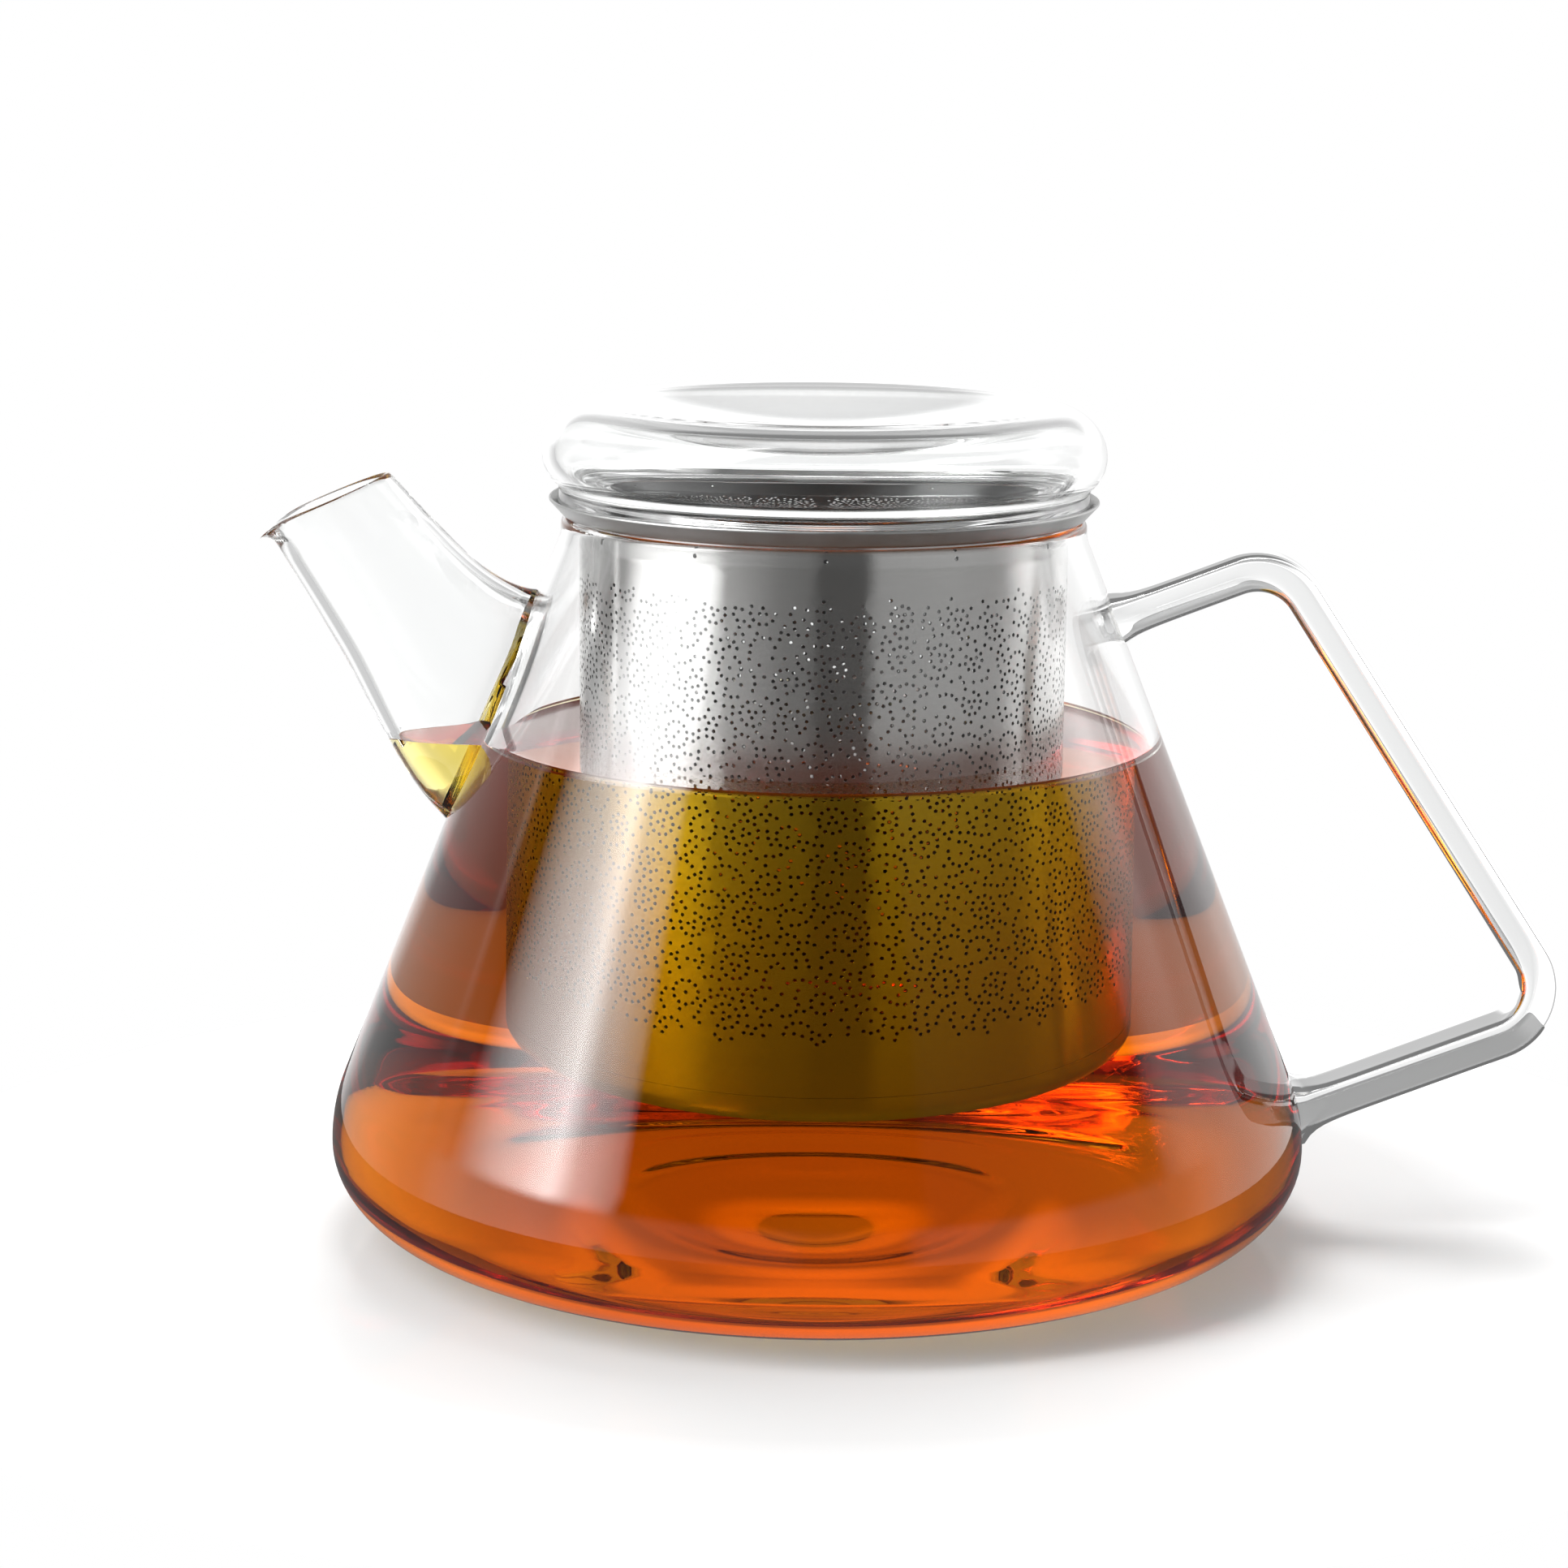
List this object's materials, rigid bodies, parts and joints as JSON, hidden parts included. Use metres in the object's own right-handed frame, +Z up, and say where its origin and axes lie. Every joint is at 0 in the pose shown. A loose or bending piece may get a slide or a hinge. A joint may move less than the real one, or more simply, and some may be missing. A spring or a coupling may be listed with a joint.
{
  "type": "glass infuser teapot",
  "caption": "Conical glass teapot with a fused spout and an angular handle, a lift-out perforated steel infuser basket with a flared collar, and a hollow blown glass lid.",
  "frame": {"origin": "middle of the vessel's flat base, on the surface that it stands on", "axes": "+Z up along the vessel's axis, +X towards the handle, -X towards the spout"},
  "size_m": [0.2193, 0.165, 0.1397],
  "materials": {
    "borosilicate_glass": "clear, fire-polished",
    "basket_sheet": "fine brushed sheet, perforated",
    "collar_steel": "turned and satin-brushed"
  },
  "bodies": {
    "pot": {"glass_vessel": "borosilicate_glass", "spout_tube": "borosilicate_glass", "spout_weld": "borosilicate_glass", "handle_band": "borosilicate_glass", "handle_weld_upper": "borosilicate_glass", "handle_weld_lower": "borosilicate_glass"},
    "infuser": {"basket_sleeve": "basket_sheet", "basket_floor": "basket_sheet", "collar_ring": "collar_steel"},
    "lid": {"lid_shell": "borosilicate_glass"}
  },
  "joints": [
    {"name": "infuser_lift", "type": "slide", "parent": "pot", "child": "infuser", "axis": [0, 0, 1], "range_m": [0, 0.13]},
    {"name": "lid_lift", "type": "slide", "parent": "infuser", "child": "lid", "axis": [0, 0, 1], "range_m": [0, 0.05]}
  ]
}
